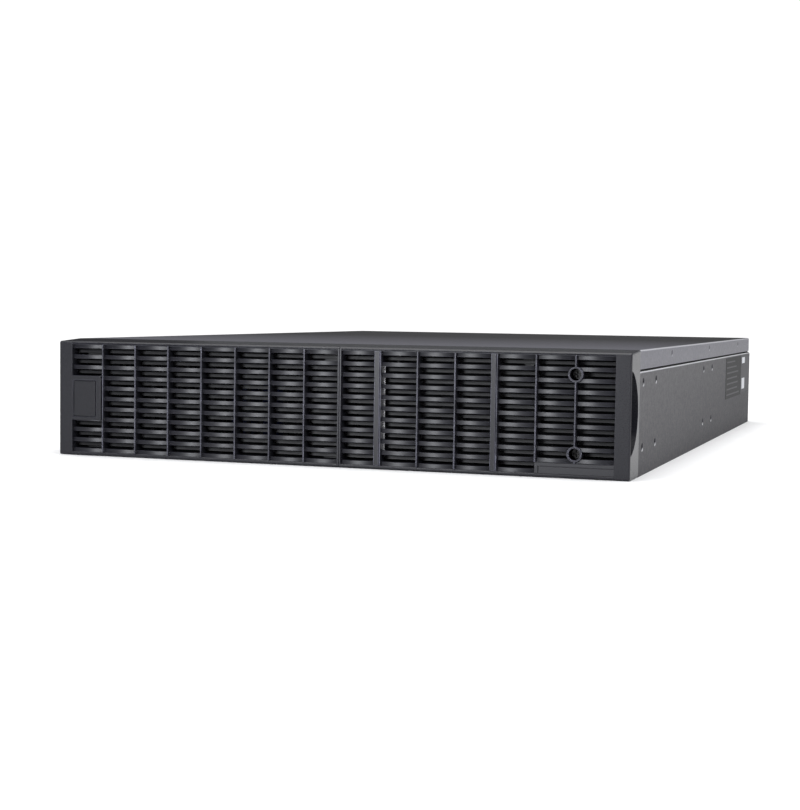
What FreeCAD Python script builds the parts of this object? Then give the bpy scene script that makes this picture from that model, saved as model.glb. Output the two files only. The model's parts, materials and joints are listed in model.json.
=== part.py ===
"""Uninterruptible power supply for a 19-inch rack, two units high.

Modelled from the left end of the front face: x runs to the right across the
front, y runs back from the front face and z runs up from the shelf it stands on.
save() then moves each piece so that the origin is the middle of the underside.
"""
import FreeCAD, Part
import math
import os

V = FreeCAD.Vector

# Driving dimensions, millimetres
WIDTH = 438.0
HEIGHT = 88.0
DEPTH = 650.0
SHEET = 1.2                  # sheet steel
SPLIT = 227.7                # seam between the two bezels, from the left end
BEZEL_DEPTH = 29.7
BEZEL_FRONT_HEIGHT = 86.4    # its top slopes up to the full height
BEZEL_FLOOR_GAP = 0.3
EDGE_RADIUS = 1.1
TOP_CHAMFER = 1.0            # along the bezels' top front edge
FRAME_STRIP = 10.9           # plain strip at each outer end of the front
LOUVRE_DEPTH = 14.0
LOUVRE_BOTTOM = 2.8
LOUVRE_TOP = 84.0
SLAT_PITCH = 7.84
SLAT_HEIGHT = 2.8
FIRST_SLAT = 4.2
SLAT_COUNT = 11
REAR_SLAT_HEIGHT = 2.4
REAR_SLAT_DROP = 3.9         # each rear slat sits this far below a front one
FRONT_LAYER = 5.0            # depth of the front slats
REAR_LAYER = 10.0            # where the rear slats start
REAR_TILT = 0.4              # how far the top of a rear slat leans back
RIB = 0.8
SLAT_INSET = 0.3             # a slat's foremost point, behind the front face
BOW = 1.9                    # how far it bows out between two ribs
SLAT_TILT = 0.3              # and how much further back its top edge is
GROOVE = 0.6                 # decorative grooves in the frames and bars
BADGE_RIGHT, BADGE_LOW, BADGE_HIGH = 35.4, 27.0, 60.4
BAR_1, BAR_2 = (254.3, 259.1), (340.0, 344.5)
LEFT_RIBS = [36.9 + 27.25 * k for k in range(7)]
RIGHT_RIBS = [286.3, 313.9, 371.9, 399.5]
LABEL_LEFT, LABEL_TOP = 371.4, 10.64
BEZEL_SCREW_X = 399.5
BEZEL_SCREW_Z = (16.8, 71.2)
BEZEL_SCREW_SEAT = 10.9      # depth of the bores their heads lie in

PLATE_FRONT = 31.0           # front plates of the chassis and of the battery tray
SEAM_Z = 74.3                # lower edge of the top cover's side flanges
SIDE_TOP_Z = 73.6
SIDE_INSET = 0.15            # lower side panels, behind the bezel's ends
FLANGE_INSET = 1.2           # cover flanges, further in
TAB_INSET = 2.5              # tabs of the side panels, behind the flanges
INNER_X = 3.8                # inner faces of the case, at each side
EAR_HOLE_Y = (44.0, 94.0, 327.0, 377.0)
EAR_HOLE_Z = (20.0, 65.5)
EAR_HOLE_R = 2.75
EAR_HOLE_CHAMFER = 0.4
COVER_SCREW_Y = (167.0, 365.0, 560.0)
COVER_SCREW_Z = 82.8
COVER_SCREW_R = 1.6

REAR_Y = 638.0               # outer face of the rear panel
FAN_SIZE, FAN_DEPTH, FAN_BORE = 80.0, 25.0, 38.0
FAN_HOLE = 35.75             # fan mounting holes, from the fan's axis each way
FAN_SHAFT, FAN_SHAFT_FIT = 1.5, 0.05
GUARD_WIRE = 1.6
FAN_CENTRES = {"left": (54.0, 44.2), "right": (140.0, 44.2)}
OUTLET_X = [294.0 + 27.0 * k for k in range(4)]
OUTLET_Z = (25.5, 61.5)
OPTION_PLATE = 1.5
REAR_SCREW_R = 1.5
OPTION_SCREWS = [(190.0, 49.0), (190.0, 79.0), (232.0, 49.0), (232.0, 79.0)]
PANEL_SCREWS = [(97.0, 82.5), (281.0, 82.5), (388.0, 82.5)]
ROCKER_PIN, ROCKER_PIN_FIT = 1.5, 0.05

BOARD_Z = 9.0                # underside of the main board
BOARD_STUD_X = (18.0, 216.0)
BOARD_STUD_Y = (70.0, 240.0, 410.0, 580.0)

BLOCK_LENGTH, BLOCK_WIDTH, BLOCK_HEIGHT = 151.0, 65.0, 94.0     # one battery
BAY_LEFT = 230.6
BAY_END = 505.0
TRAY_LEFT, TRAY_RIGHT = 233.0, 432.6
TRAY_END = 497.0
TRAY_FLOOR = 4.5
TRAY_SCREW_X = (262.0, 362.0)
TRAY_SCREW_Z = 79.0


def block(x, y, z):
    """A box between the low and the high value on each axis."""
    return Part.makeBox(x[1] - x[0], y[1] - y[0], z[1] - z[0], V(x[0], y[0], z[0]))


def centred(cx, cz, width, height, y):
    """A box about a centre line that runs front to back."""
    return block((cx - width / 2, cx + width / 2), y, (cz - height / 2, cz + height / 2))


def rod(radius, start, end):
    """A round bar between two points."""
    axis = V(*end) - V(*start)
    return Part.makeCylinder(radius, axis.Length, V(*start), axis)


def cone(r_start, r_end, start, end):
    axis = V(*end) - V(*start)
    return Part.makeCone(r_start, r_end, axis.Length, V(*start), axis)


def prism_along_x(outline, x0, x1):
    """Extrudes a closed (y, z) outline from x0 to x1."""
    points = [V(x0, y, z) for y, z in outline]
    face = Part.Face(Part.makePolygon(points + points[:1]))
    return face.extrude(V(x1 - x0, 0, 0))


def prism_along_y(outline, y0, y1):
    """Extrudes a closed (x, z) outline from y0 to y1."""
    points = [V(x, y0, z) for x, z in outline]
    face = Part.Face(Part.makePolygon(points + points[:1]))
    return face.extrude(V(0, y1 - y0, 0))


def prism_along_z(outline, z0, z1):
    """Extrudes a closed (x, y) outline from z0 to z1."""
    points = [V(x, y, z0) for x, y in outline]
    face = Part.Face(Part.makePolygon(points + points[:1]))
    return face.extrude(V(0, 0, z1 - z0))


def fuse(shapes):
    return shapes[0].fuse(shapes[1:]).removeSplitter()


def cut(shape, tools):
    return shape.cut(Part.makeCompound(tools))


def mirrored(shape):
    """The same shape at the other end of the width."""
    return shape.mirror(V(WIDTH / 2, 0, 0), V(1, 0, 0))


def save(name, *shapes):
    """Writes one node; more than one shape makes a group of separate solids."""
    shape = shapes[0] if len(shapes) == 1 else Part.makeCompound(list(shapes))
    shape = shape.copy()
    shape.translate(V(-WIDTH / 2, -DEPTH / 2, 0))
    shape.exportStep(os.path.join("parts", name + ".step"))
    state = "ok" if shape.isValid() else "INVALID"
    print(f"{name:24s} {state} {len(shape.Solids):3d} solids {shape.Volume / 1000:9.2f} cm3")


# ---------------------------------------------------------------- bezels

def slat_centre(k):
    return FIRST_SLAT + SLAT_PITCH * k


def louvre_void(x0, x1, first):
    """The open space of one column: gaps between the front slats, a middle
    layer, and gaps between the rear slats, as one comb-shaped prism."""
    last = SLAT_COUNT - 1
    outline = []
    for k in range(first, last):
        low = slat_centre(k) + SLAT_HEIGHT / 2
        high = slat_centre(k + 1) - SLAT_HEIGHT / 2
        outline += [(FRONT_LAYER, low), (-1, low), (-1, high), (FRONT_LAYER, high)]
    for k in range(last + 1, first, -1):
        high = min(slat_centre(k) - REAR_SLAT_DROP - REAR_SLAT_HEIGHT / 2,
                   slat_centre(last) - SLAT_HEIGHT / 2)
        low = slat_centre(k - 1) - REAR_SLAT_DROP + REAR_SLAT_HEIGHT / 2
        if k == first + 1:
            low = slat_centre(first) + SLAT_HEIGHT / 2
        outline += [(REAR_LAYER, high), (LOUVRE_DEPTH + 1, high)]
        outline += [(LOUVRE_DEPTH + 1, low), (REAR_LAYER + REAR_TILT, low)]
    return prism_along_x(outline, x0, x1)


def crown(x0, x1, first):
    """What is cut off one column so that each slat bows outwards between its
    ribs and leans back at its top."""
    half = (x1 - x0) / 2
    radius = (half ** 2 + BOW ** 2) / (2 * BOW)
    bottom = slat_centre(first) - SLAT_HEIGHT / 2
    outline = [(0, bottom)]
    for k in range(first, SLAT_COUNT):
        low, high = slat_centre(k) - SLAT_HEIGHT / 2, slat_centre(k) + SLAT_HEIGHT / 2
        outline += [(radius, low), (radius - SLAT_TILT, high)]
    outline.append((0, LOUVRE_TOP))
    cx, cy = (x0 + x1) / 2, SLAT_INSET + radius
    points = [V(cx + r, cy, z) for r, z in outline]
    face = Part.Face(Part.makePolygon(points + points[:1]))
    barrel = face.revolve(V(cx, cy, 0), V(0, 0, 1), 360)
    return block((x0, x1), (-1, FRONT_LAYER), (bottom, LOUVRE_TOP)).cut(barrel)


def louvres(x0, x1, dividers, label_left):
    """The louvred insert: dividers is a list of (left, right) solid strips."""
    body = block((x0, x1), (0, LOUVRE_DEPTH), (LOUVRE_BOTTOM, LOUVRE_TOP))
    edges = [x0] + [x for strip in dividers for x in strip] + [x1]
    columns = list(zip(edges[::2], edges[1::2]))
    voids, crowns = [], []
    for left, right in columns:
        first = 1 if left >= label_left - 1 else 0
        voids.append(louvre_void(left, right, first))
        crowns.append(crown(left, right, first))
    return cut(cut(body, voids), crowns)


def bezel_shell(x0, x1, outer_end):
    """Open-backed housing: sloping top with a chamfer in front of it, rounded
    lower front edge and outer end."""
    outline = [(0, BEZEL_FLOOR_GAP), (BEZEL_DEPTH, BEZEL_FLOOR_GAP), (BEZEL_DEPTH, HEIGHT),
               (TOP_CHAMFER, BEZEL_FRONT_HEIGHT), (0, BEZEL_FRONT_HEIGHT - TOP_CHAMFER)]
    shell = prism_along_x(outline, x0, x1)
    rounded = []
    for edge in shell.Edges:
        ends = [v.Point for v in edge.Vertexes]
        on_front = all(abs(p.y) < 0.01 for p in ends)
        low = all(p.z < HEIGHT / 2 for p in ends)
        on_end = all(abs(p.x - outer_end) < 0.01 for p in ends)
        on_back = all(abs(p.y - BEZEL_DEPTH) < 0.01 for p in ends)
        along_x = abs(ends[0].x - ends[1].x) > 1
        if (low and on_front and along_x) or (on_end and not on_back):
            rounded.append(edge)
    return shell.makeFillet(EDGE_RADIUS, rounded)


def finger_scoop(end_x, inward):
    """A D-shaped ramp in the end of a bezel, deepest at its curved edge."""
    radius, reach, ramp_depth = 29.5, 25.0, 6.0
    disc = rod(radius, (end_x - 8, reach - radius, 45.5), (end_x + 8, reach - radius, 45.5))
    start, step = 1.0, reach + 0.5
    ramp = prism_along_z([(end_x, start), (end_x + inward * ramp_depth, step),
                          (end_x - inward * 2, step), (end_x - inward * 2, start)], 10, 80)
    return disc.common(ramp)


def bezel_frame(x0, x1, window, solid_end):
    """The frame around one louvred insert. solid_end is the thick outer strip."""
    outer_end = x0 if solid_end[0] == x0 else x1
    shell = bezel_shell(x0, x1, outer_end)
    opening = block(window, (-1, BEZEL_DEPTH + 1), (LOUVRE_BOTTOM, LOUVRE_TOP))
    top, low = LOUVRE_TOP, LOUVRE_BOTTOM
    top_groove = [(-0.1, top + 1.3), (GROOVE, top + 1.3), (GROOVE, top + 0.9), (-0.1, top + 0.3)]
    low_bevel = [(-0.1, low - GROOVE), (GROOVE, low + 0.1), (-0.1, low + 0.1)]
    shell = cut(shell, [opening, prism_along_x(top_groove, *window), prism_along_x(low_bevel, *window)])
    relief = 3.0
    if outer_end == x0:
        hollow = (x0 + relief, window[0] + 0.1)
    else:
        hollow = (window[1] - 0.1, x1 - relief)
    behind = block(hollow, (26.0, BEZEL_DEPTH + 1), (LOUVRE_BOTTOM, LOUVRE_TOP))
    return cut(shell, [behind, finger_scoop(outer_end, 1 if outer_end == x0 else -1)])


def make_left_bezel():
    wall = 1.3
    window = (FRAME_STRIP, SPLIT - wall)
    frame = bezel_frame(0, SPLIT - 0.2, window, (0, FRAME_STRIP))
    badge = block((0, BADGE_RIGHT), (0, LOUVRE_DEPTH), (BADGE_LOW, BADGE_HIGH))
    rim = [e for e in badge.Edges if all(abs(v.Y) < 0.01 and v.X > 1 for v in e.Vertexes)]
    badge = badge.makeFillet(0.7, rim)
    badge = badge.common(block((FRAME_STRIP - 1, BADGE_RIGHT), (-1, LOUVRE_DEPTH), (0, HEIGHT)))
    recess_x, recess_z, lip = (FRAME_STRIP + 0.9, 30.8), (29.4, 57.0), 0.5
    recess = block(recess_x, (-1, 1.4), recess_z)
    step = block((recess_x[0] - lip, recess_x[1] + lip), (-1, 0.5),
                 (recess_z[0] - lip, recess_z[1] + lip))
    frame = cut(fuse([frame, badge]), [fuse([recess, step])])

    dividers = [(x - RIB / 2, x + RIB / 2) for x in LEFT_RIBS]
    insert = louvres(window[0], window[1], dividers, WIDTH)
    clearance = block((FRAME_STRIP - 1, LEFT_RIBS[0] - RIB / 2), (-1, LOUVRE_DEPTH + 1),
                      (BADGE_LOW, BADGE_HIGH))
    insert = cut(insert, [clearance])

    clip_x, clip_z = (20.0, 214.0), (8.0, 76.0)
    clips = []
    for x in clip_x:
        for z in clip_z:
            foot = block((x - 3, x + 9), (LOUVRE_DEPTH, LOUVRE_DEPTH + 2), (z - 3, z + 5))
            arm = block((x, x + 6), (LOUVRE_DEPTH, 36.0), (z, z + 2))
            hook = block((x, x + 6), (34.4, 36.0), (z + 2, z + 3))
            clips.append(fuse([foot, arm, hook]))

    save("left_bezel_frame", frame)
    save("left_bezel_louvres", insert)
    save("bezel_clips", *clips)
    gap = 0.5
    plate = block((recess_x[0] + gap, recess_x[1] - gap), (0.25, 1.4),
                  (recess_z[0] + gap, recess_z[1] - gap))
    plate_rim = [e for e in plate.Edges if all(abs(v.Y - 0.25) < 0.01 for v in e.Vertexes)]
    save("badge_plate", plate.makeFillet(0.4, plate_rim))
    return clip_x, clip_z


def make_right_bezel():
    left = SPLIT + 0.2
    window = (left + 1.1, WIDTH - FRAME_STRIP)
    frame = bezel_frame(left, WIDTH, window, (WIDTH - FRAME_STRIP, WIDTH))

    ribs = [(x - RIB / 2, x + RIB / 2) for x in RIGHT_RIBS]
    dividers = sorted(ribs + [BAR_1, BAR_2])
    insert = louvres(window[0], window[1], dividers, LABEL_LEFT)
    grooves = [block((bar[1] - 0.5 - GROOVE, bar[1] - 0.5), (-1, 1.4), (0, HEIGHT))
               for bar in (BAR_1, BAR_2)]
    label_seat = block((LABEL_LEFT, WIDTH), (-1, 1.8), (LOUVRE_BOTTOM, LABEL_TOP))
    bosses, bores = [], []
    for z in BEZEL_SCREW_Z:
        bosses.append(rod(5.2, (BEZEL_SCREW_X, 0, z), (BEZEL_SCREW_X, LOUVRE_DEPTH, z)))
        bores.append(rod(4.2, (BEZEL_SCREW_X, -1, z), (BEZEL_SCREW_X, BEZEL_SCREW_SEAT, z)))
        bores.append(rod(2.4, (BEZEL_SCREW_X, 8.0, z), (BEZEL_SCREW_X, 16.0, z)))
    insert = cut(fuse([insert] + bosses), grooves + [label_seat])
    insert = cut(insert, bores)

    plate = block((LABEL_LEFT + 0.3, window[1]), (0.2, 1.8), (LOUVRE_BOTTOM, LABEL_TOP - 0.5))
    channel = block((LABEL_LEFT + 2.7, WIDTH), (-1, 1.1), (LOUVRE_BOTTOM - 1, LABEL_TOP - 2.6))
    raised = block((LABEL_LEFT + 3.3, WIDTH), (-2, 2), (LOUVRE_BOTTOM - 1, LABEL_TOP - 3.2))
    save("right_bezel_frame", frame)
    save("right_bezel_louvres", insert)
    save("label_plate", cut(plate, [channel.cut(raised)]))
    strip_y = (FRONT_LAYER + 0.3, FRONT_LAYER + 1.9)
    save("bezel_stiffener", block((BAR_1[1], BAR_1[1] + 1.5), strip_y, (12, 76)))


def captive_screw(x, z, head_front, head_back, tip, head_radius):
    """A cross-head screw along y, with its head to the front."""
    head = rod(head_radius, (x, head_front, z), (x, head_back, z))
    shank = rod(2.0, (x, head_back - 0.5, z), (x, tip, z))
    arm, width, sunk = 4.6, 1.1, 1.8
    cross = [centred(x, z, arm, width, (head_front - 1, head_front + sunk)),
             centred(x, z, width, arm, (head_front - 1, head_front + sunk))]
    body = fuse([head, shank])
    return cut(cut(body, cross[:1]), cross[1:])


def make_bezel_screws():
    for name, z in zip(("lower", "upper"), BEZEL_SCREW_Z):
        screw = captive_screw(BEZEL_SCREW_X, z, BEZEL_SCREW_SEAT - 3.6, BEZEL_SCREW_SEAT - 0.4, 34.6, 3.4)
        save("bezel_screw_" + name, screw)


# ---------------------------------------------------------------- chassis

def make_base_pan():
    """Floor of the case, with pressed studs that carry the main board."""
    low, high = 1.45, WIDTH - 1.45
    outline = [(low, 0), (high, 0), (high, 12), (high - SHEET, 12), (high - SHEET, SHEET),
               (low + SHEET, SHEET), (low + SHEET, 12), (low, 12)]
    pan = prism_along_y(outline, 30.0, DEPTH)
    studs = [rod(3.5, (x, y, 0.5), (x, y, BOARD_Z)) for x in BOARD_STUD_X for y in BOARD_STUD_Y]
    save("base_pan", fuse([pan] + studs))


def side_panel():
    """Left side: a plate with a joggle at its top that tucks inside the cover."""
    out, tuck = SIDE_INSET, TAB_INSET
    outline = [(out, 0), (out, SIDE_TOP_Z), (tuck, SIDE_TOP_Z), (tuck, 86.0),
               (tuck + SHEET, 86.0), (tuck + SHEET, SIDE_TOP_Z - SHEET),
               (out + SHEET, SIDE_TOP_Z - SHEET), (out + SHEET, 0)]
    panel = prism_along_y(outline, 30.0, DEPTH)
    top_edges = [e for e in panel.Edges
                 if all(abs(v.X - out) < 0.01 and abs(v.Z - SIDE_TOP_Z) < 0.01 for v in e.Vertexes)]
    panel = panel.makeFillet(2.2, top_edges)
    collars, bores = [], []
    for y in EAR_HOLE_Y:
        for z in EAR_HOLE_Z:
            collars.append(rod(4.9, (out + 0.5, y, z), (out + 3.6, y, z)))
            bores.append(fuse([rod(EAR_HOLE_R, (out - 1, y, z), (out + 4, y, z)),
                               cone(EAR_HOLE_R + EAR_HOLE_CHAMFER, EAR_HOLE_R,
                                    (out, y, z), (out + EAR_HOLE_CHAMFER, y, z))]))
    bores += [rod(COVER_SCREW_R, (tuck - 1, y, COVER_SCREW_Z), (tuck + SHEET + 1, y, COVER_SCREW_Z))
              for y in COVER_SCREW_Y]
    return cut(fuse([panel] + collars), bores)


def make_side_panels():
    left = side_panel()
    save("side_panel_left", left)
    save("side_panel_right", mirrored(left))
    stickers = [block((WIDTH - SIDE_INSET, WIDTH), y, z)
                for y, z in (((469, 579), (32, 71)), ((580, 640), (34, 71)))]
    save("side_labels", *stickers)


def make_top_cover():
    low, high = FLANGE_INSET, WIDTH - FLANGE_INSET
    outer = block((low, high), (30.0, DEPTH), (SEAM_Z, HEIGHT))
    corners = [e for e in outer.Edges
               if all(abs(v.Z - HEIGHT) < 0.01 for v in e.Vertexes)
               and abs(e.Vertexes[0].Y - e.Vertexes[1].Y) > 1]
    outer = outer.makeFillet(1.6, corners)
    inner = block((low + SHEET, high - SHEET), (29, DEPTH + 1), (SEAM_Z - 1, HEIGHT - SHEET))
    cover = cut(outer, [inner])
    seats, screws = [], []
    for y in COVER_SCREW_Y:
        seat = cone(2.6, 1.7, (low, y, COVER_SCREW_Z), (low + SHEET, y, COVER_SCREW_Z))
        head = cone(2.2, COVER_SCREW_R, (low + 0.35, y, COVER_SCREW_Z), (low + SHEET, y, COVER_SCREW_Z))
        shank = rod(COVER_SCREW_R, (low + 1, y, COVER_SCREW_Z), (low + 7, y, COVER_SCREW_Z))
        slot = block((low - 1, low + 0.9), (y - 0.4, y + 0.4), (COVER_SCREW_Z - 2, COVER_SCREW_Z + 2))
        screw = cut(fuse([head, shank]), [slot])
        seats += [seat, mirrored(seat)]
        screws += [screw, mirrored(screw)]
    save("top_cover", cut(cover, seats))
    save("cover_screws", *screws)


def make_front_inner_panel(clip_x, clip_z):
    """Perforated plate behind the left bezel, with slots for its clips."""
    panel = block((INNER_X, BAY_LEFT - SHEET), (PLATE_FRONT, PLATE_FRONT + SHEET), (1.4, 86.4))
    slots = [block((x - 0.8, x + 6.8), (30, 40), (z - 0.8, z + 3.8)) for x in clip_x for z in clip_z]
    vents = []
    for column in range(17):
        for row in range(5):
            x, z = 38.0 + 10.0 * column, 18.0 + 12.0 * row
            vents.append(centred(x, z, 7.0, 8.0, (30, 40)))
    save("front_inner_panel", cut(panel, slots + vents))


def make_bay():
    """The battery bay: divider, end wall, front cross rail and tray guides."""
    save("bay_divider", block((BAY_LEFT - SHEET, BAY_LEFT), (PLATE_FRONT, BAY_END), (1.4, 86.4)))
    wall = block((BAY_LEFT - SHEET, WIDTH - INNER_X), (BAY_END, BAY_END + SHEET), (1.4, 86.4))
    window = block((312, 352), (BAY_END - 1, BAY_END + 3), (16, 44))
    save("bay_end_wall", cut(wall, [window]))
    rail = [(34, 86.4), (34, 74), (36, 74), (36, 84.4), (46, 84.4), (46, 86.4)]
    cross_rail = prism_along_x(rail, BAY_LEFT, WIDTH - INNER_X)
    holes = [rod(2.4, (x, 30, TRAY_SCREW_Z), (x, 40, TRAY_SCREW_Z)) for x in TRAY_SCREW_X]
    save("cross_rail", cut(cross_rail, holes))
    guide = [(BAY_LEFT, 1.4), (BAY_LEFT + SHEET, 1.4), (BAY_LEFT + SHEET, 3.0), (BAY_LEFT + 9, 3.0),
             (BAY_LEFT + 9, 4.2), (BAY_LEFT + SHEET, 4.2), (BAY_LEFT + SHEET, 20), (BAY_LEFT, 20)]
    right_edge = WIDTH - INNER_X
    far_guide = [(BAY_LEFT + right_edge - x, z) for x, z in guide]
    rails = [prism_along_y(outline, 33.5, BAY_END - 1) for outline in (guide, far_guide)]
    save("guide_rails", *rails)


# ---------------------------------------------------------------- battery tray

def make_tray():
    x0, x1, floor = TRAY_LEFT, TRAY_RIGHT, TRAY_FLOOR
    front = block((232.4, 433.4), (PLATE_FRONT, PLATE_FRONT + SHEET), (floor, 83.8))
    plates = [front,
              block((x0, x1), (PLATE_FRONT, TRAY_END), (floor, floor + SHEET)),
              block((x0, x0 + SHEET), (PLATE_FRONT, TRAY_END), (floor, 42)),
              block((x1 - SHEET, x1), (PLATE_FRONT, TRAY_END), (floor, 42)),
              block((x0, x1), (TRAY_END - SHEET, TRAY_END), (floor, 42))]
    holes = [rod(2.4, (x, 30, TRAY_SCREW_Z), (x, 34, TRAY_SCREW_Z)) for x in TRAY_SCREW_X]
    holes += [rod(2.4, (BEZEL_SCREW_X, 30, z), (BEZEL_SCREW_X, 34, z)) for z in BEZEL_SCREW_Z]
    save("battery_tray", cut(fuse(plates), holes))

    posts = [block((x, x + 8), (18, PLATE_FRONT), (34, 54)) for x in (298.0, 362.0)]
    bar = block((298, 370), (18, 22.5), (34, 54))
    handle = fuse([bar] + posts)
    grip_edges = [e for e in handle.Edges if all(abs(v.Y - 18) < 0.01 for v in e.Vertexes)]
    save("tray_handle", handle.makeFillet(1.5, grip_edges))


def make_batteries():
    """Six sealed blocks on their sides, two across and three deep, with their
    terminals facing each other across the middle of the tray."""
    base = TRAY_FLOOR + SHEET
    columns = ((TRAY_LEFT + SHEET + 0.6, 1, 22.0), (TRAY_RIGHT - SHEET - 0.6 - BLOCK_HEIGHT, -1, 56.0))
    terminals, links = [], []
    number = 0
    for x0, side, z in columns:
        face = x0 + BLOCK_HEIGHT if side > 0 else x0
        for row in range(3):
            y0 = 36.5 + row * (BLOCK_LENGTH + 1)
            body = block((x0, x0 + BLOCK_HEIGHT), (y0, y0 + BLOCK_LENGTH), (base, base + BLOCK_WIDTH))
            long_edges = [e for e in body.Edges if abs(e.Vertexes[0].X - e.Vertexes[1].X) > 1]
            body = body.makeFillet(2.0, long_edges)
            lid_x = x0 + (BLOCK_HEIGHT - 8 if side > 0 else 7)
            groove = block((lid_x, lid_x + 1), (y0 - 1, y0 + BLOCK_LENGTH + 1), (base - 1, base + 70))
            core = block((lid_x - 1, lid_x + 2), (y0 + 0.8, y0 + BLOCK_LENGTH - 0.8),
                         (base + 0.8, base + BLOCK_WIDTH - 0.8))
            number += 1
            save(f"battery_{number}", body.cut(groove.cut(core)))
            for y in (y0 + 9, y0 + BLOCK_LENGTH - 9):
                reach = (face, face + 3.4) if side > 0 else (face - 3.4, face)
                terminals.append(block(reach, (y - 3.2, y + 3.2), (z - 0.4, z + 0.4)))
            if row:
                span = (face + 1, face + 3.2) if side > 0 else (face - 3.2, face - 1)
                links.append(block(span, (y0 - 13, y0 + 12), (z + 0.4, z + 1.4)))
    left_face = columns[0][0] + BLOCK_HEIGHT
    right_face = columns[1][0]
    front_y = (42.5, 48.5)
    cross_link = prism_along_y([(left_face + 1, 22.4), (left_face + 3.2, 22.4), (left_face + 3.2, 54.6),
                                (right_face - 1, 54.6), (right_face - 1, 55.6), (left_face + 1, 55.6)],
                               *front_y)
    rear_y = 36.5 + 3 * (BLOCK_LENGTH + 1) - 10
    leads = [block((face0, face0 + 2.2), (rear_y - 4, TRAY_END - SHEET), (z + 0.4, z + 1.4))
             for face0, z in ((left_face + 1, 22.0), (right_face - 3.2, 56.0))]
    save("battery_links", cross_link, *(terminals + links + leads))


def make_bay_connector():
    """Blind-mate power connector: sockets on the tray, pins on the end wall."""
    pin_x, pin_z, pin_r, clearance = (324.0, 340.0), 30.0, 2.7, 0.3
    housing = block((314, 350), (TRAY_END, BAY_END - 0.6), (18, 42))
    holes = [rod(pin_r + clearance, (x, TRAY_END + 1, pin_z), (x, BAY_END, pin_z)) for x in pin_x]
    save("tray_connector", cut(housing, holes))
    base = block((313, 351), (BAY_END + SHEET, 522), (17, 43))
    pins = [rod(pin_r, (x, TRAY_END + 2, pin_z), (x, 512, pin_z)) for x in pin_x]
    save("bay_connector", fuse([base] + pins))


def make_tray_screws():
    for name, x in zip(("left", "right"), TRAY_SCREW_X):
        z = TRAY_SCREW_Z
        knob = rod(4.7, (x, 21, z), (x, 30.6, z))
        shank = rod(2.0, (x, 30, z), (x, 44, z))
        teeth = [rod(0.5, (x + 4.8 * math.cos(a), 20, z + 4.8 * math.sin(a)),
                     (x + 4.8 * math.cos(a), 28, z + 4.8 * math.sin(a)))
                 for a in (math.radians(20 * k) for k in range(18))]
        slot = centred(x, z, 8, 1.2, (20, 22.2))
        screw = cut(fuse([knob, shank]), teeth)
        save("tray_screw_" + name, cut(screw, [slot]))


# ---------------------------------------------------------------- rear panel

def chamfered(cx, cz, width, height, bevel, y):
    """A box along y with its two upper corners cut off."""
    left, right = cx - width / 2, cx + width / 2
    low, high = cz - height / 2, cz + height / 2
    outline = [(left, low), (right, low), (right, high - bevel), (right - bevel, high),
               (left + bevel, high), (left, high - bevel)]
    if not bevel:
        outline = [(left, low), (right, low), (right, high), (left, high)]
    return prism_along_y(outline, *y)


def socket_outlet(cx, cz, size, bevel, slots):
    """A female outlet: flanged body, ring-shaped well and slotted core."""
    width, height = size
    flange = centred(cx, cz, width + 7, height + 7, (REAR_Y, REAR_Y + 2.2))
    body = centred(cx, cz, width + 3.6, height + 3.6, (REAR_Y - 22, REAR_Y))
    well = chamfered(cx, cz, width, height, bevel, (REAR_Y - 16, REAR_Y + 3))
    core = chamfered(cx, cz, width - 5.6, height - 5.6, max(bevel - 1.6, 0), (REAR_Y - 17, REAR_Y + 0.8))
    cells = [centred(cx + dx, cz + dz, w, h, (REAR_Y - 13, REAR_Y + 2)) for dx, dz, w, h in slots]
    outlet = cut(fuse([flange, body]), [well.cut(core)])
    return cut(outlet, cells)


def make_outlets():
    slots = ((-3.2, 0, 2.2, 5.2), (3.2, 0, 2.2, 5.2), (0, 4.6, 2.2, 5.0))
    size = (17.4, 25.4)
    save("outlets", *[socket_outlet(x, z, size, 4.5, slots) for x in OUTLET_X for z in OUTLET_Z])
    wide_slots = ((-5.4, 5.5, 2.6, 8.0), (5.4, 5.5, 2.6, 8.0), (0, -5.0, 2.6, 8.0))
    save("high_current_outlet", socket_outlet(258.0, 28.0, (21.0, 28.6), 0, wide_slots))


def make_inlet():
    cx, cz = 414.0, 24.0
    mouth = (24.6, 30.0)
    flange = centred(cx, cz, 33, 38, (REAR_Y, REAR_Y + 2.4))
    body = centred(cx, cz, mouth[0] + 4, mouth[1] + 3.6, (REAR_Y - 26, REAR_Y))
    well = centred(cx, cz, mouth[0], mouth[1], (REAR_Y - 20, REAR_Y + 3))
    pins = [centred(cx + dx, cz + dz, 2.0, 8.0, (REAR_Y - 30, REAR_Y - 2))
            for dx, dz in ((-6.5, 6.0), (6.5, 6.0), (0, -7.0))]
    save("ac_inlet", cut(fuse([flange, body]), [well] + pins))
    save("ac_inlet_pins", *pins)
    return cx, cz


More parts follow.
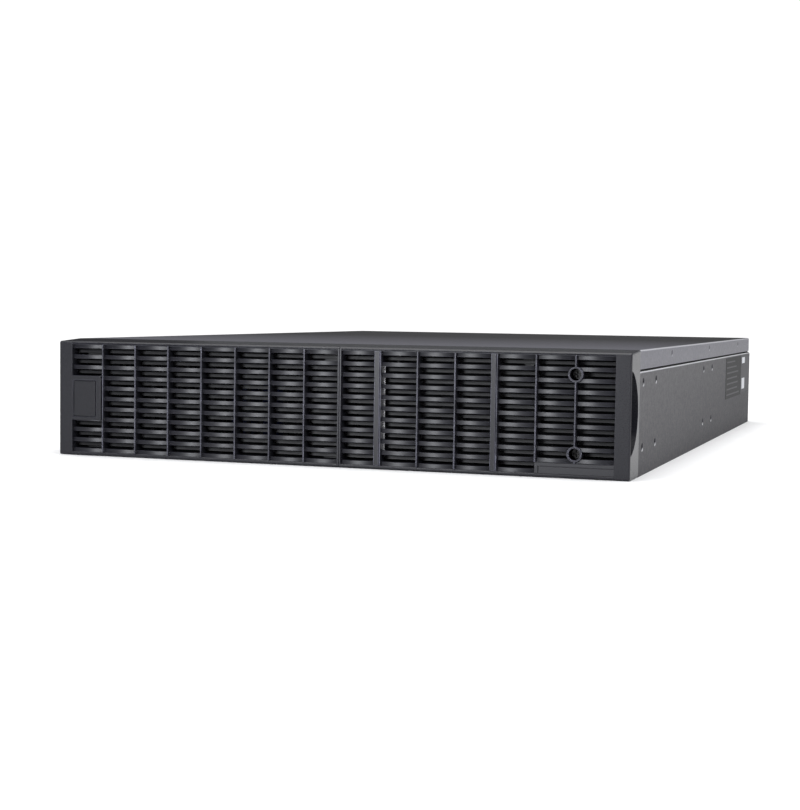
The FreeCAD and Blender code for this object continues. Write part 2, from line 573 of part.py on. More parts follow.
def make_switches():
    cx, cz = 405.5, 64.0
    pivot_y = REAR_Y - 5.0
    body = fuse([centred(cx, cz, 19, 33, (REAR_Y, REAR_Y + 2)),
                 centred(cx, cz, 15.5, 28, (REAR_Y - 18, REAR_Y))])
    well = centred(cx, cz, 12.6, 25, (REAR_Y - 10.5, REAR_Y + 3))
    bearing = rod(ROCKER_PIN + ROCKER_PIN_FIT, (cx - 7.4, pivot_y, cz), (cx + 7.4, pivot_y, cz))
    save("switch_body", cut(body, [well, bearing]))
    half, rise, tilt = 10.8, 6.6, 10.0
    outline = [(pivot_y - 2.5, cz - 8), (pivot_y + rise + 1.5, cz - half), (pivot_y + rise, cz),
               (pivot_y + rise + 1.5, cz + half), (pivot_y - 2.5, cz + 8)]
    pin = rod(ROCKER_PIN, (cx - 7.2, pivot_y, cz), (cx + 7.2, pivot_y, cz))
    rocker = fuse([prism_along_x(outline, cx - 6.0, cx + 6.0), pin])
    rocker.rotate(V(cx, pivot_y, cz), V(1, 0, 0), -tilt)
    save("switch_rocker", rocker)

    bx, bz = 425.5, 66.0
    collar = fuse([rod(7.0, (bx, REAR_Y, bz), (bx, REAR_Y + 2.4, bz)),
                   rod(5.9, (bx, REAR_Y - 20, bz), (bx, REAR_Y, bz))])
    save("breaker_body", cut(collar, [rod(4.0, (bx, REAR_Y - 14, bz), (bx, REAR_Y + 3, bz))]))
    button = rod(3.7, (bx, REAR_Y - 8, bz), (bx, REAR_Y + 6.4, bz))
    rim = [e for e in button.Edges if all(v.Y > REAR_Y + 6 for v in e.Vertexes) and e.Length < 24]
    save("breaker_button", button.makeFillet(0.8, rim[:1]))


def make_ports():
    """Signal ports and the blank cover over the option slot."""
    out = REAR_Y
    usb = centred(196, 26, 12.4, 11.2, (out - 14, out + 0.6))
    usb = cut(usb, [centred(196, 26, 8.6, 7.6, (out - 8, out + 1))])
    usb = fuse([usb, centred(196, 27, 5.6, 3.0, (out - 9, out - 0.4))])
    save("usb_port", usb)
    shell = chamfered(217, 26, 17.6, 8.6, 1.6, (out - 8, out + 4.6))
    plate = centred(217, 26, 24, 12.4, (out, out + 0.8))
    pins = []
    for count, z in ((5, 27.4), (4, 24.6)):
        for k in range(count):
            x = 217 + 2.76 * (k - (count - 1) / 2)
            pins.append(rod(0.5, (x, out - 1, z), (x, out + 6, z)))
    save("serial_port", cut(fuse([shell, plate]), pins))
    cover = centred(211, 64, 50, 38, (out, out + OPTION_PLATE))
    pull = block((204, 218), (out + OPTION_PLATE, out + 7), (56.5, 58.5))
    holes = [rod(REAR_SCREW_R, (x, out - 1, z), (x, out + 3, z)) for x, z in OPTION_SCREWS]
    save("option_cover", cut(fuse([cover, pull]), holes))
    housing = centred(258, 66, 34, 20, (out - 24, out + 3))
    mouths = [centred(258 + dx, 66, 12, 13, (out - 10, out + 4)) for dx in (-8, 8)]
    blades = [centred(258 + dx, 66, 8, 2, (out - 12, out + 1)) for dx in (-8, 8)]
    save("battery_port", fuse([cut(housing, mouths)] + blades))


def fan_holes(cx, cz):
    """Places of the four mounting holes of a fan."""
    return [(cx + dx, cz + dz) for dx in (-FAN_HOLE, FAN_HOLE) for dz in (-FAN_HOLE, FAN_HOLE)]


def fan_frame(cx, cz):
    front, back = REAR_Y - SHEET - FAN_DEPTH, REAR_Y - SHEET
    square = centred(cx, cz, FAN_SIZE, FAN_SIZE, (front, back))
    upright = [e for e in square.Edges if abs(e.Vertexes[0].Y - e.Vertexes[1].Y) > 1]
    square = square.makeFillet(4.0, upright)
    bore = rod(FAN_BORE, (cx, front - 1, cz), (cx, back + 1, cz))
    holes = [rod(2.2, (x, front - 1, z), (x, back + 1, z)) for x, z in fan_holes(cx, cz)]
    hub = rod(15, (cx, back - 4, cz), (cx, back, cz))
    spokes = []
    for turn in range(4):
        spoke = centred(cx + 26, cz, 26, 4, (back - 4, back))
        spoke.rotate(V(cx, 0, cz), V(0, 1, 0), 45 + 90 * turn)
        spokes.append(spoke)
    body = fuse([cut(square, [bore] + holes), hub] + spokes)
    return cut(body, [rod(FAN_SHAFT + FAN_SHAFT_FIT, (cx, back - 5, cz), (cx, back - 1, cz))])


def fan_rotor(cx, cz):
    front, back = REAR_Y - SHEET - FAN_DEPTH + 1, REAR_Y - SHEET - 4.8
    hub = rod(15, (cx, front, cz), (cx, back, cz))
    ring = rod(36.6, (cx, front + 1, cz), (cx, back - 1, cz))
    blades = []
    for turn in range(7):
        blade = block((cx + 12, cx + 40), (front - 12, back + 12), (cz - 0.7, cz + 0.7))
        blade.rotate(V(cx, (front + back) / 2, cz), V(1, 0, 0), 52)
        blade.rotate(V(cx, 0, cz), V(0, 1, 0), 360 / 7 * turn)
        blades.append(blade.common(ring))
    shaft = rod(FAN_SHAFT, (cx, back - 1, cz), (cx, back + 3.2, cz))
    return fuse([hub, shaft] + blades)


def fan_guard(cx, cz):
    """Concentric wire rings on two crossed wires that end in eyelets."""
    wire = GUARD_WIRE / 2
    y = REAR_Y + wire
    ring_centre = V(cx, y + 2 * wire - 0.3, cz)
    rings = [Part.makeTorus(r, wire, ring_centre, V(0, 1, 0)) for r in (10, 17, 24, 31, 37.5)]
    reach = FAN_HOLE
    wires = [rod(wire, (cx - reach, y, cz - reach * s), (cx + reach, y, cz + reach * s)) for s in (-1, 1)]
    eyes = [rod(3.6, (x, REAR_Y, z), (x, REAR_Y + GUARD_WIRE, z)) for x, z in fan_holes(cx, cz)]
    holes = [rod(REAR_SCREW_R, (x, REAR_Y - 1, z), (x, REAR_Y + 3, z)) for x, z in fan_holes(cx, cz)]
    return cut(fuse(wires + eyes + rings), holes)


def pan_screw(x, z, y, radius=3.0):
    head = rod(radius, (x, y, z), (x, y + 1.8, z))
    shank = rod(REAR_SCREW_R, (x, y - 8, z), (x, y + 0.5, z))
    slot = centred(x, z, radius * 1.5, 0.8, (y + 0.9, y + 3))
    return cut(fuse([head, shank]), [slot])


def make_fans():
    guards, screws = [], []
    for name, (cx, cz) in FAN_CENTRES.items():
        save("fan_frame_" + name, fan_frame(cx, cz))
        save("fan_rotor_" + name, fan_rotor(cx, cz))
        guards.append(fan_guard(cx, cz))
        screws += [pan_screw(x, z, REAR_Y + GUARD_WIRE) for x, z in fan_holes(cx, cz)]
    save("fan_guards", *guards)
    screws += [pan_screw(x, z, REAR_Y + OPTION_PLATE) for x, z in OPTION_SCREWS]
    screws += [pan_screw(x, z, REAR_Y) for x, z in PANEL_SCREWS]
    save("rear_screws", *screws)


def make_rear_panel(inlet):
    panel = block((INNER_X, WIDTH - INNER_X), (REAR_Y - SHEET, REAR_Y), (1.4, 86.4))
    span = (REAR_Y - 3, REAR_Y + 1)
    holes = [rod(FAN_BORE, (cx, span[0], cz), (cx, span[1], cz)) for cx, cz in FAN_CENTRES.values()]
    holes += [centred(x, z, 21.4, 29.4, span) for x in OUTLET_X for z in OUTLET_Z]
    holes += [centred(258.0, 28.0, 25.0, 32.6, span), centred(inlet[0], inlet[1], 29.0, 34.0, span),
              centred(405.5, 64.0, 15.9, 28.4, span),
              rod(6.1, (425.5, span[0], 66.0), (425.5, span[1], 66.0)),
              centred(196, 26, 12.6, 11.4, span), centred(217, 26, 18.2, 9.2, span),
              centred(211, 64, 40, 26, span), centred(258, 66, 34.4, 20.4, span)]
    for column in range(5):
        holes.append(centred(187 + 12 * column, 9.5, 8.0, 4.5, span))
    screws = OPTION_SCREWS + PANEL_SCREWS
    for cx, cz in FAN_CENTRES.values():
        screws = screws + fan_holes(cx, cz)
    holes += [rod(REAR_SCREW_R, (x, span[0], z), (x, span[1], z)) for x, z in screws]
    save("rear_panel", cut(panel, holes))


# ---------------------------------------------------------------- electronics

def fins(x0, x1, y0, y1, z0, z1, count):
    """An extruded heat sink: a base plate with fins that stand up from it."""
    base = block((x0, x1), (y0, y1), (z0, z0 + 5))
    step = (x1 - x0 - 2) / (count - 1)
    blades = [block((x0 + k * step, x0 + k * step + 2), (y0, y1), (z0 + 4, z1)) for k in range(count)]
    return fuse([base] + blades)


def make_electronics():
    top = BOARD_Z + 1.6
    board = block((12, 222), (60, 590), (BOARD_Z, top))
    holes = [rod(1.8, (x, y, 0), (x, y, 20)) for x in BOARD_STUD_X for y in BOARD_STUD_Y]
    save("main_board", cut(board, holes))
    save("heat_sinks", fins(24, 84, 90, 300, top + 10, 78, 10), fins(150, 210, 90, 300, top + 10, 78, 10))
    drums = []
    for row in range(2):
        for place in range(3):
            x, y = 105 + 25 * row, 110 + 34 * place
            can = rod(11.5, (x, y, top), (x, y, top + 45))
            rim = [e for e in can.Edges if e.Length > 60 and e.Vertexes[0].Z > top + 40]
            drums.append(can.makeFillet(1.5, rim))
    save("capacitors", *drums)
    save("chokes", *[Part.makeTorus(17, 7.5, V(x, 340, top + 7.5), V(0, 0, 1)) for x in (54, 104, 154)])
    cores, windings = [], []
    for x in (36.0, 110.0):
        core = block((x, x + 56), (385, 447), (top, top + 50))
        core = cut(core, [block((x + 9, x + 23), (384, 448), (top + 9, top + 41)),
                          block((x + 33, x + 47), (384, 448), (top + 9, top + 41))])
        coil = block((x + 10, x + 46), (374, 458), (top + 10, top + 40))
        coil = cut(coil, [block((x + 22.5, x + 33.5), (384.5, 447.5), (top + 8, top + 42))])
        hollow = block((x + 22.5, x + 33.5), (370, 460), (top + 8, top + 42))
        cores.append(core)
        windings.append(cut(coil, [hollow]))
    save("transformer_cores", *cores)
    save("transformer_windings", *windings)
    control = block((186, 187.6), (340, 520), (top, 74))
    chips = [block((182, 186), (y, y + 16), (30, 46)) for y in (360, 400, 450, 490)]
    save("control_board", fuse([control] + chips))


def main():
    os.makedirs("parts", exist_ok=True)
    clip_x, clip_z = make_left_bezel()
    make_right_bezel()
    make_bezel_screws()
    make_base_pan()
    make_side_panels()
    make_top_cover()
    make_front_inner_panel(clip_x, clip_z)
    make_bay()
    make_tray()
    make_batteries()
    make_bay_connector()
    make_tray_screws()
    make_outlets()
    inlet = make_inlet()
    make_switches()
    make_ports()
    make_fans()
    make_rear_panel(inlet)
    make_electronics()


main()
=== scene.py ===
import json
import math

import bmesh
import bpy
from mathutils import Matrix, Vector


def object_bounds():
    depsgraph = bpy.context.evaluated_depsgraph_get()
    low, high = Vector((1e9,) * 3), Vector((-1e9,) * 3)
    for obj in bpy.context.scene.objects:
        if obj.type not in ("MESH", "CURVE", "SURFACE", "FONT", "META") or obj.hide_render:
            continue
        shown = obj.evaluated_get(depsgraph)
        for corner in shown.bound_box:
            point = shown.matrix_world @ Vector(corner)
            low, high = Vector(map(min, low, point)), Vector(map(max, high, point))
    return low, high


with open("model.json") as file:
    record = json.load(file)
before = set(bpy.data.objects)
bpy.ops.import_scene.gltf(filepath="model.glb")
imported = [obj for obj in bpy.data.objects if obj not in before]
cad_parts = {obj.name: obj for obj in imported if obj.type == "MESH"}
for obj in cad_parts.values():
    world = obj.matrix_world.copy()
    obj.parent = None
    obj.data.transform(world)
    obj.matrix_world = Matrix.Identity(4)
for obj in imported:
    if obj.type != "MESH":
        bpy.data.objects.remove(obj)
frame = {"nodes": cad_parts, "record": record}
cad_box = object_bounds()
LOW, HIGH = Vector(cad_box[0]), Vector(cad_box[1])


# ---------------------------------------------------------------- camera and light

CAMERA_PLACE = Vector((0.4229, LOW.y - 1.0666, 0.1149))
CAMERA_YAW = -0.3323          # turned to the left of straight back, radians
CAMERA_PITCH = 0.0606         # tipped down
CAMERA_ROLL = -0.0134
LENS_MM = 71.32
SENSOR_MM = 36.0
AMBIENT = 0.05                # light from the room round the object
BACKDROP = 1.1                # how white the empty backdrop is seen
COOL_WHITE = (0.94, 0.96, 1.0)
OVERHEAD_STRENGTH = 4.0
OVERHEAD_SPREAD = 60.0        # degrees

# name: place, point aimed at, width and height in metres, watts
SOFTBOXES = {
    "key_softbox": ((-0.32, -1.37, 0.23), (0.0, -0.32, 0.05), 0.3, 0.3, 8.2),
    "edge_softbox": ((1.6, -1.0, 0.4), (0.1, -0.32, 0.05), 0.5, 0.5, 14.0),
    "rear_screen": ((1.1, 2.6, 0.65), (0.22, 0.0, 0.05), 1.7, 1.2, 3.5),
    "back_strip": ((-0.8, 2.6, 0.6), (0.0, -0.3, 0.08), 1.4, 0.4, 0.5),
}


def make_camera():
    forward = Vector((math.sin(CAMERA_YAW) * math.cos(CAMERA_PITCH),
                      math.cos(CAMERA_YAW) * math.cos(CAMERA_PITCH),
                      -math.sin(CAMERA_PITCH)))
    right = Vector((math.cos(CAMERA_YAW), -math.sin(CAMERA_YAW), 0.0))
    down = forward.cross(right)
    turned_right = math.cos(CAMERA_ROLL) * right + math.sin(CAMERA_ROLL) * down
    turned_down = math.cos(CAMERA_ROLL) * down - math.sin(CAMERA_ROLL) * right
    data = bpy.data.cameras.new("camera")
    data.lens = LENS_MM
    data.sensor_width = SENSOR_MM
    data.clip_start = 0.01
    data.clip_end = 100.0
    camera = bpy.data.objects.new("camera", data)
    turn = Matrix((turned_right, -turned_down, -forward)).transposed()
    camera.matrix_world = Matrix.Translation(CAMERA_PLACE) @ turn.to_4x4()
    bpy.context.scene.collection.objects.link(camera)
    bpy.context.scene.camera = camera


def area_light(name, place, target, width, height, watts):
    data = bpy.data.lights.new(name, "AREA")
    data.shape = "RECTANGLE"
    data.size, data.size_y = width, height
    data.energy = watts
    data.color = COOL_WHITE
    light = bpy.data.objects.new(name, data)
    aim = Vector(target) - Vector(place)
    light.rotation_euler = aim.to_track_quat("-Z", "Y").to_euler()
    light.location = place
    bpy.context.scene.collection.objects.link(light)


def sun_light(name, aim, strength, angle_deg):
    data = bpy.data.lights.new(name, "SUN")
    data.energy = strength
    data.angle = math.radians(angle_deg)
    light = bpy.data.objects.new(name, data)
    light.rotation_euler = Vector(aim).to_track_quat("-Z", "Y").to_euler()
    bpy.context.scene.collection.objects.link(light)


def make_light():
    """A dim studio with a white backdrop: a wide light overhead, a low softbox at
    the front left that shines into the louvres, one at the front right for the
    right-hand edges, a white screen behind that the side panel mirrors, and a
    strip behind on the left for the top cover."""
    world = bpy.data.worlds.new("studio")
    bpy.context.scene.world = world
    world.use_nodes = True
    tree = world.node_tree
    background = tree.nodes["Background"]
    path = tree.nodes.new("ShaderNodeLightPath")
    strength = tree.nodes.new("ShaderNodeMapRange")
    strength.inputs["To Min"].default_value = AMBIENT
    strength.inputs["To Max"].default_value = BACKDROP
    tree.links.new(path.outputs["Is Camera Ray"], strength.inputs["Value"])
    tree.links.new(strength.outputs["Result"], background.inputs["Strength"])
    background.inputs["Color"].default_value = (1.0, 1.0, 1.0, 1.0)
    sun_light("overhead", (0.0, 0.0, -1.0), OVERHEAD_STRENGTH, OVERHEAD_SPREAD)
    for name, softbox in SOFTBOXES.items():
        area_light(name, *softbox)
    bpy.context.scene.view_settings.view_transform = "Standard"


# ---------------------------------------------------------------- materials

CHARCOAL = (0.012, 0.012, 0.0155)
CASE_GREY = (0.0185, 0.0175, 0.0215)
# The cover paint as on its flanges; its top is painted darker than this as painted shade, least so at
# the front, as a painted sheen
COVER_GREY = (0.086, 0.085, 0.102)
BLACK = (0.018, 0.018, 0.020)
BLACK_COAT = (0.004, 0.004, 0.005)
# painted shade for the side panels' hole bores and the gap under the cover
PAINTED_RECESS_SHADE = (0.003, 0.003, 0.003)
# painted highlight laid on edges that turn over towards the light above
PAINTED_EDGE_HIGHLIGHT = (0.55, 0.55, 0.57)

# painted shade: the louvres are painted darker over this depth
LOUVRE_DEPTH_SHADE = (LOW.y + 0.003, LOW.y + 0.009)     # from the front slats to the rear ones
# the louvres' pale edges and painted highlights stay on these front faces
FRONT_SKIN = (LOW.y + 0.0001, LOW.y + 0.0003)    # the front faces of ribs and bosses
# painted sheen at the top's front, fading to painted shade behind
TOP_SHEEN_FADE = (LOW.y + 0.04, LOW.y + 0.40)          # from the top's front to where it is darkest
# within this the side panels are painted black as shade: hole bores and the tab under the cover's
# flange
SIDE_SKIN_X = HIGH.x - 0.0007                    # just inside the side panels' outer face
LABEL_EDGE_Y = LOW.y + 0.5795                    # where the two side stickers meet
LABEL_ROW = 0.0052                               # pitch of the dark sticker's lines
LOWER_FIELD = (0.037, 0.048)                     # heights of the pale sticker's white fields
UPPER_FIELD = (0.063, 0.069)

NOISE_RANGE = (0.3, 0.7)                         # where nearly all of a noise lies
BEVEL_SAMPLES = 6


class Shader:
    """A Principled material whose colour, roughness and bump come from nodes."""

    def __init__(self, name, metallic=0.0, specular=0.5):
        self.material = bpy.data.materials.new(name)
        self.material.use_nodes = True
        self.tree = self.material.node_tree
        self.main = self.tree.nodes["Principled BSDF"]
        self.main.inputs["Metallic"].default_value = metallic
        self.main.inputs["Specular IOR Level"].default_value = specular
        self.place = self.tree.nodes.new("ShaderNodeTexCoord").outputs["Object"]

    def node(self, kind, **inputs):
        made = self.tree.nodes.new(kind)
        for key, value in inputs.items():
            self.feed(made.inputs[key.replace("_", " ")], value)
        return made

    def feed(self, socket, value):
        if isinstance(value, bpy.types.NodeSocket):
            self.tree.links.new(value, socket)
        else:
            socket.default_value = value

    def stretched(self, x, y, z):
        mapping = self.node("ShaderNodeMapping", Vector=self.place)
        mapping.inputs["Scale"].default_value = (x, y, z)
        return mapping.outputs["Vector"]

    def noise(self, scale, detail=2.0, vector=None, roughness=0.5):
        made = self.node("ShaderNodeTexNoise", Vector=vector or self.place, Scale=scale,
                         Detail=detail, Roughness=roughness)
        return made.outputs["Fac"]

    def axis(self, letter, vector=None):
        parts = self.node("ShaderNodeSeparateXYZ", Vector=vector or self.place)
        return parts.outputs[letter]

    def span(self, value, low, high, out_low=0.0, out_high=1.0):
        """Carries low..high over to out_low..out_high, held at both ends."""
        made = self.node("ShaderNodeMapRange", Value=value, From_Min=low, From_Max=high,
                         To_Min=out_low, To_Max=out_high)
        return made.outputs["Result"]

    def maths(self, operation, a, b=0.0):
        made = self.tree.nodes.new("ShaderNodeMath")
        made.operation = operation
        self.feed(made.inputs[0], a)
        self.feed(made.inputs[1], b)
        return made.outputs["Value"]

    def add(self, a, b):
        return self.maths("ADD", a, b)

    def times(self, a, b):
        return self.maths("MULTIPLY", a, b)

    def within(self, value, low, high):
        """1 between low and high, 0 outside."""
        return self.times(self.maths("GREATER_THAN", value, low), self.maths("LESS_THAN", value, high))

    def mix(self, factor, a, b):
        made = self.tree.nodes.new("ShaderNodeMix")
        made.data_type = "RGBA"
        self.feed(made.inputs["Factor"], factor)
        for socket, colour in ((made.inputs[6], a), (made.inputs[7], b)):
            self.feed(socket, colour if isinstance(colour, bpy.types.NodeSocket) else (*colour, 1.0))
        return made.outputs[2]

    def normal(self):
        return self.tree.nodes.new("ShaderNodeNewGeometry").outputs["Normal"]

    def rounded(self, radius):
        """The normal with edges softened over radius."""
        made = self.node("ShaderNodeBevel", Radius=radius)
        made.samples = BEVEL_SAMPLES
        return made.outputs["Normal"]

    def edges(self, radius):
        """1 on edges, both worn ones and painted highlights, 0 on flat faces."""
        dot = self.tree.nodes.new("ShaderNodeVectorMath")
        dot.operation = "DOT_PRODUCT"
        self.feed(dot.inputs[0], self.rounded(radius))
        self.feed(dot.inputs[1], self.normal())
        return self.span(dot.outputs["Value"], 0.99, 0.80)

    def wear_and_highlight(self, radius, patch_scale, amount):
        """Edges in patches, worn and painted as highlights, at least two fifths of amount everywhere.
        """
        patches = self.span(self.noise(patch_scale, 4.0), 0.35, 0.6, 0.4 * amount, amount)
        return self.times(self.edges(radius), patches)

    def bump(self, height, strength, distance, radius=0.0):
        made = self.node("ShaderNodeBump", Height=height, Strength=strength, Distance=distance)
        if radius:
            self.feed(made.inputs["Normal"], self.rounded(radius))
        self.feed(self.main.inputs["Normal"], made.outputs["Normal"])

    def colour(self, value):
        self.feed(self.main.inputs["Base Color"], value)

    def roughness(self, value):
        self.feed(self.main.inputs["Roughness"], value)


def shade(colour, factor):
    return tuple(min(1.0, c * factor) for c in colour)


def powder_coat(name, base, gloss, wear_and_highlight=0.25, specular=0.5, worn_and_highlit_gain=3.2, edge_highlight_amount=0.0,
                top=(1.0, 1.0), skin=0.0):
    """Textured powder paint: fine pebbles, faint cloudiness, edges paled by rub,
    partly worn and partly a painted highlight. rolled is how strongly a painted
    highlight is laid along edges turned over to the top, and top the tone of upward
    faces at the front and at the back, a painted sheen at the front and painted shade
    behind. Where skin is given, the paint dulls towards the floor, and within skin of
    the middle it is painted black as shade in hole bores and gaps."""
    s = Shader(name, specular=specular)
    pebble = s.noise(850.0, 3.0, roughness=0.6)
    tone = s.mix(s.span(s.noise(9.0, 3.0), *NOISE_RANGE), shade(base, 0.93), shade(base, 1.07))
    tone = s.mix(s.span(s.noise(1600.0), 0.35, 0.65, 0.0, 0.5), tone, shade(base, 1.22))
    # Pale edges: worn, and with a large rub a painted highlight
    tone = s.mix(s.wear_and_highlight(0.0006, 60.0, wear_and_highlight), tone, shade(base, worn_and_highlit_gain))
    rough = s.add(s.span(pebble, *NOISE_RANGE, gloss - 0.05, gloss + 0.08),
                  s.span(s.noise(280.0, 3.0), 0.35, 0.65, -0.03, 0.03))
    # Painted highlight: a pale strip on edges that turn over to upward faces, where light catches them
    if edge_highlight_amount:
        tilt = s.axis("Z", s.normal())
        highlight_band = s.times(s.span(tilt, 0.12, 0.45), s.span(tilt, 0.97, 0.80))
        upward = s.span(tilt, 0.85, 0.98)
        # Painted sheen and shade: upward faces take the top tones, paler at the front and darker
        # behind
        top_sheen_tone = s.mix(s.span(s.axis("Y"), *TOP_SHEEN_FADE), shade(base, top[0]), shade(base, top[1]))
        tone = s.mix(s.times(highlight_band, edge_highlight_amount), s.mix(upward, tone, top_sheen_tone), PAINTED_EDGE_HIGHLIGHT)
        rough = s.add(rough, s.times(upward, 0.16))
    # Painted shade: hole bores and the gap under the cover's flange are painted black
    if skin:
        inside = s.maths("LESS_THAN", s.maths("ABSOLUTE", s.axis("X")), skin)
        tone = s.mix(inside, tone, PAINTED_RECESS_SHADE)
        dull = s.add(s.span(s.axis("Z"), LOW.z, HIGH.z, 0.12, -0.02),
                     s.span(s.axis("Y"), LOW.y, HIGH.y, -0.02, 0.06))
        rough = s.add(rough, s.add(dull, s.times(inside, 0.4)))
    s.colour(tone)
    s.roughness(rough)
    s.bump(pebble, 0.22, 0.00008, 0.0004)
    return s.material


def moulded_plastic(name, base, gloss, texture=1800.0, wear_and_highlight=0.2, worn_and_highlit_gain=2.4, fade=None):
    """Moulded plastic: spark-eroded texture, faint flow marks, edges paled by rub,
    partly worn and partly a painted highlight. fade is the stretch of y over which the
    plastic is painted darker as shade and turns rougher, and where it is given only
    the foremost edges are paled."""
    s = Shader(name, specular=0.26)
    grain = s.noise(texture, 2.0, roughness=0.6)
    marks = s.noise(14.0, 3.0, s.stretched(1.0, 0.35, 2.2))
    tone = s.mix(s.span(marks, *NOISE_RANGE), shade(base, 0.95), shade(base, 1.05))
    tone = s.mix(s.span(grain, 0.4, 0.7, 0.0, 0.35), tone, shade(base, 1.25))
    rough = s.span(grain, *NOISE_RANGE, gloss - 0.04, gloss + 0.07)
    # Pale edges: worn, and with a large rub a painted highlight
    worn_and_highlit = s.wear_and_highlight(0.0005, 75.0, wear_and_highlight)
    if fade:
        worn_and_highlit = s.times(worn_and_highlit, s.span(s.axis("Y"), *FRONT_SKIN, 1.0, 0.15))
    tone = s.mix(worn_and_highlit, tone, shade(base, worn_and_highlit_gain))
    # Painted shade: deeper in the louvres the plastic is painted darker, and it turns rougher
    if fade:
        dull = s.span(s.axis("Y"), *fade)
        tone = s.mix(dull, tone, shade(base, 0.5))
        rough = s.add(rough, s.times(dull, 0.13))
    s.colour(tone)
    s.roughness(rough)
    s.bump(grain, 0.18, 0.00006, 0.00035)
    return s.material


def zinc_plate(name, base, gloss):
    """Zinc-plated sheet: rolling lines and a faint crystal spangle."""
    s = Shader(name, metallic=1.0)
    lines = s.noise(420.0, 3.0, s.stretched(0.06, 1.0, 1.0))
    cells = s.node("ShaderNodeTexVoronoi", Vector=s.place, Scale=160.0)
    spangle = s.span(cells.outputs["Distance"], 0.0, 0.9)
    tone = s.mix(spangle, shade(base, 0.9), shade(base, 1.1))
    s.colour(s.mix(s.span(s.noise(18.0, 4.0), 0.5, 0.75, 0.0, 0.5), tone, shade(base, 0.72)))
    s.roughness(s.span(lines, *NOISE_RANGE, gloss - 0.07, gloss + 0.12))
    s.bump(lines, 0.15, 0.00004, 0.0003)
    return s.material


def plated_metal(name, base, gloss):
    """Turned or drawn bright metal with fine tool lines."""
    s = Shader(name, metallic=1.0)
    lines = s.noise(1500.0, 2.0, s.stretched(1.0, 0.1, 1.0))
    tarnish = s.noise(220.0, 3.0)
    s.colour(s.mix(s.span(tarnish, 0.45, 0.75, 0.0, 0.5), base, shade(base, 0.6)))
    s.roughness(s.span(lines, *NOISE_RANGE, gloss - 0.05, gloss + 0.12))
    s.bump(lines, 0.12, 0.00003, 0.0002)
    return s.material


def circuit_board(name, base):
    """Solder mask with darker tracks under it and a woven ground."""
    s = Shader(name)
    tracks = s.node("ShaderNodeTexBrick", Vector=s.place, Scale=60.0)
    tracks.inputs["Mortar Size"].default_value = 0.03
    weave = s.node("ShaderNodeTexWave", Vector=s.place, Scale=900.0)
    tone = s.mix(tracks.outputs["Fac"], base, shade(base, 1.9))
    s.colour(s.mix(s.span(weave.outputs["Fac"], 0.0, 1.0, 0.0, 0.18), tone, shade(base, 0.5)))
    s.roughness(s.span(s.noise(500.0), *NOISE_RANGE, 0.25, 0.4))
    s.bump(tracks.outputs["Fac"], 0.3, 0.00005)
    return s.material


def wound_wire(name, base):
    """Enamelled copper wire laid side by side."""
    s = Shader(name, metallic=0.8)
    turns = s.node("ShaderNodeTexWave", Vector=s.place, Scale=260.0, Distortion=0.6)
    s.colour(s.mix(turns.outputs["Fac"], shade(base, 0.35), base))
    s.roughness(s.span(turns.outputs["Fac"], 0.0, 1.0, 0.42, 0.25))
    s.bump(turns.outputs["Fac"], 0.8, 0.0004)
    return s.material


def cast_ferrite(name, base):
    """Pressed and fired ferrite: a dull dark grain."""
    s = Shader(name)
    grain = s.noise(700.0, 4.0, roughness=0.7)
    s.colour(s.mix(grain, shade(base, 0.7), shade(base, 1.5)))
    s.roughness(s.span(grain, *NOISE_RANGE, 0.6, 0.85))
    s.bump(grain, 0.4, 0.0002, 0.0004)
    return s.material


def label_film(name, edge_y):
    """Two blank stickers: a dark one with pale field lines, and a pale one with
    white fields. edge_y is where they meet."""
    s = Shader(name, specular=0.15)
    along, up = s.axis("Y"), s.axis("Z")
    rows = s.times(up, 1.0 / LABEL_ROW)
    ragged = s.node("ShaderNodeTexWhiteNoise")
    ragged.noise_dimensions = "1D"
    s.feed(ragged.inputs["W"], s.maths("FLOOR", rows))
    row_end = s.span(ragged.outputs["Value"], 0.0, 1.0, edge_y - 0.05, edge_y - 0.008)
    line = s.times(s.times(s.maths("GREATER_THAN", s.maths("FRACT", rows), 0.72),
                           s.maths("GREATER_THAN", along, edge_y - 0.104)),
                   s.maths("LESS_THAN", along, row_end))
    fibre = s.noise(900.0, 3.0)
    dark = s.mix(s.span(fibre, *NOISE_RANGE), (0.009, 0.009, 0.010), (0.015, 0.015, 0.016))
    dark = s.mix(s.times(line, 0.20), dark, (0.30, 0.30, 0.31))
    field = s.times(s.add(s.within(up, *LOWER_FIELD), s.within(up, *UPPER_FIELD)),
                    s.within(along, edge_y + 0.008, edge_y + 0.030))
    light = s.mix(s.span(fibre, *NOISE_RANGE), (0.06, 0.06, 0.066), (0.08, 0.08, 0.086))
    light = s.mix(field, light, (0.62, 0.63, 0.66))
    s.colour(s.mix(s.maths("GREATER_THAN", along, edge_y), dark, light))
    s.roughness(s.span(fibre, *NOISE_RANGE, 0.50, 0.62))
    s.bump(fibre, 0.1, 0.00003)
    return s.material


def floor_paper(name):
    """Seamless pale paper."""
    s = Shader(name, specular=0.15)
    fibre = s.noise(30.0, 4.0)
    s.colour(s.mix(s.span(fibre, *NOISE_RANGE), (0.86, 0.86, 0.865), (0.88, 0.88, 0.885)))
    s.roughness(s.span(fibre, *NOISE_RANGE, 0.75, 0.85))
    return s.material


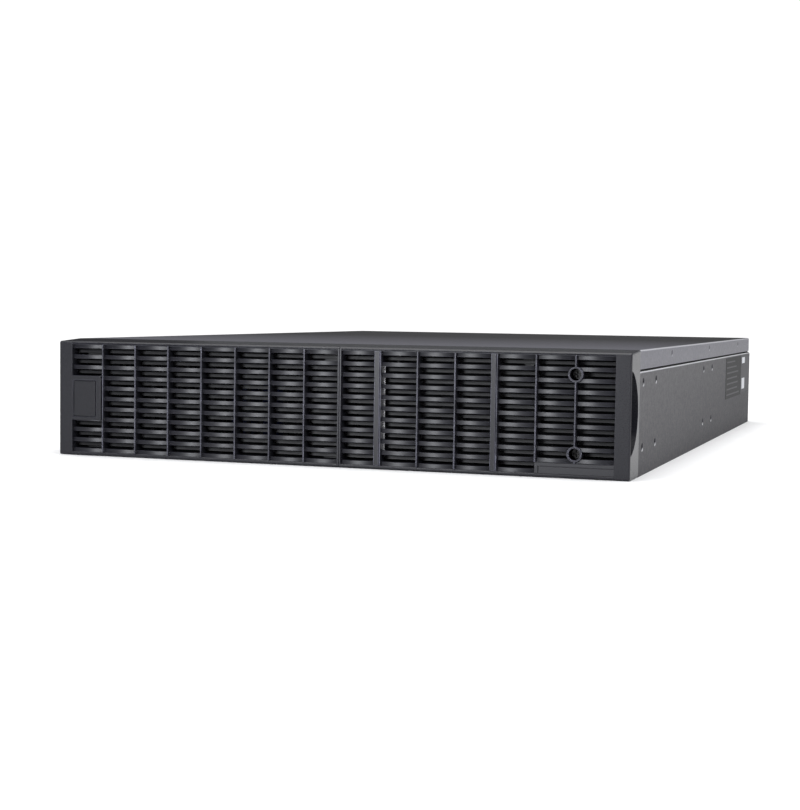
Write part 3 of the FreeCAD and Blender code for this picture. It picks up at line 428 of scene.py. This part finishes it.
def make_materials():
    """Every material, by the name of its slot."""
    made = {}

    def add(maker, name, *given, **options):
        made[name] = maker(name, *given, **options)

    # A large rub paints highlights on edges: louvre ribs and bosses, bezel, badge, side panels and
    # cover
    add(moulded_plastic, "bezel_plastic", CHARCOAL, 0.28, wear_and_highlight=0.8, worn_and_highlit_gain=5.0)
    # fade paints the louvres darker deeper in, as shade
    add(moulded_plastic, "louvre_plastic", CHARCOAL, 0.33, wear_and_highlight=1.0, worn_and_highlit_gain=26.0, fade=LOUVRE_DEPTH_SHADE)
    add(moulded_plastic, "badge_plastic", shade(CHARCOAL, 0.9), 0.30, 2600.0, 0.8, 12.0)
    add(moulded_plastic, "plate_plastic", (0.028, 0.028, 0.032), 0.32, 2600.0, 0.1, 1.5)
    add(moulded_plastic, "black_plastic", BLACK, 0.42)
    add(moulded_plastic, "grey_plastic", (0.09, 0.10, 0.11), 0.42)
    add(moulded_plastic, "white_plastic", (0.62, 0.62, 0.59), 0.35)
    add(moulded_plastic, "battery_case", (0.024, 0.025, 0.027), 0.36, 1100.0)
    add(moulded_plastic, "capacitor_sleeve", (0.01, 0.014, 0.05), 0.22)
    # rolled paints highlights along the turned-up edges of the case, side panels and cover
    add(powder_coat, "case_paint", CASE_GREY, 0.44, specular=0.4, edge_highlight_amount=0.9)
    # skin paints the side panels' hole bores and flange gap black as shade
    add(powder_coat, "side_paint", CASE_GREY, 0.44, wear_and_highlight=0.8, specular=0.4, worn_and_highlit_gain=12.0,
        edge_highlight_amount=0.9, skin=SIDE_SKIN_X)
    # top paints the cover's top darker behind as shade, with a painted sheen at the front
    add(powder_coat, "cover_paint", COVER_GREY, 0.42, wear_and_highlight=0.8, specular=0.4, edge_highlight_amount=0.6,
        top=(0.85, 0.08))
    add(powder_coat, "black_coat", BLACK_COAT, 0.8, wear_and_highlight=0.1, specular=0.12)
    add(powder_coat, "black_screw", BLACK_COAT, 0.34, wear_and_highlight=0.3, specular=0.3)
    add(zinc_plate, "zinc_steel", (0.50, 0.51, 0.53), 0.34)
    add(zinc_plate, "aluminium", (0.68, 0.69, 0.70), 0.3)
    add(plated_metal, "plated_screw", (0.60, 0.60, 0.62), 0.22)
    add(plated_metal, "bright_wire", (0.66, 0.67, 0.70), 0.16)
    add(plated_metal, "brass_contact", (0.62, 0.43, 0.16), 0.25)
    add(label_film, "label_film", LABEL_EDGE_Y)
    add(circuit_board, "circuit_board", (0.012, 0.11, 0.045))
    add(wound_wire, "copper_winding", (0.45, 0.16, 0.05))
    add(cast_ferrite, "ferrite", (0.03, 0.03, 0.032))
    return made


# Nodes whose finish is finer than their slot in the record
DRESS = {
    "top_cover": "cover_paint",
    "side_panel_left": "side_paint",
    "side_panel_right": "side_paint",
    "left_bezel_louvres": "louvre_plastic",
    "right_bezel_louvres": "louvre_plastic",
    "tray_screw_left": "black_screw",
    "tray_screw_right": "black_screw",
    "cover_screws": "black_screw",
    "label_plate": "plate_plastic",
    # Painted shade: these parts behind the louvres are coated black so they stay dark through the gaps
    "bay_divider": "black_coat",
    "guide_rails": "black_coat",
    "heat_sinks": "black_coat",
    "tray_handle": "black_coat",
}


def dress_nodes(made):
    """Gives every node its finer finish, or else that of its slot in the record."""
    slots = {row["node"]: row["material_slot"] for row in frame["record"]["subparts"]}
    slots.update(DRESS)
    for name, obj in frame["nodes"].items():
        obj.data.materials.clear()
        obj.data.materials.append(made[slots[name]])


# ---------------------------------------------------------------- floor

FLOOR_HALF = 30.0


def make_floor():
    mesh = bpy.data.meshes.new("floor")
    bm = bmesh.new()
    bmesh.ops.create_grid(bm, x_segments=4, y_segments=4, size=FLOOR_HALF)
    bm.to_mesh(mesh)
    bm.free()
    floor = bpy.data.objects.new("floor", mesh)
    floor.location.z = LOW.z
    mesh.materials.append(floor_paper("floor_paper"))
    bpy.context.scene.collection.objects.link(floor)


make_camera()
make_light()
dress_nodes(make_materials())
make_floor()
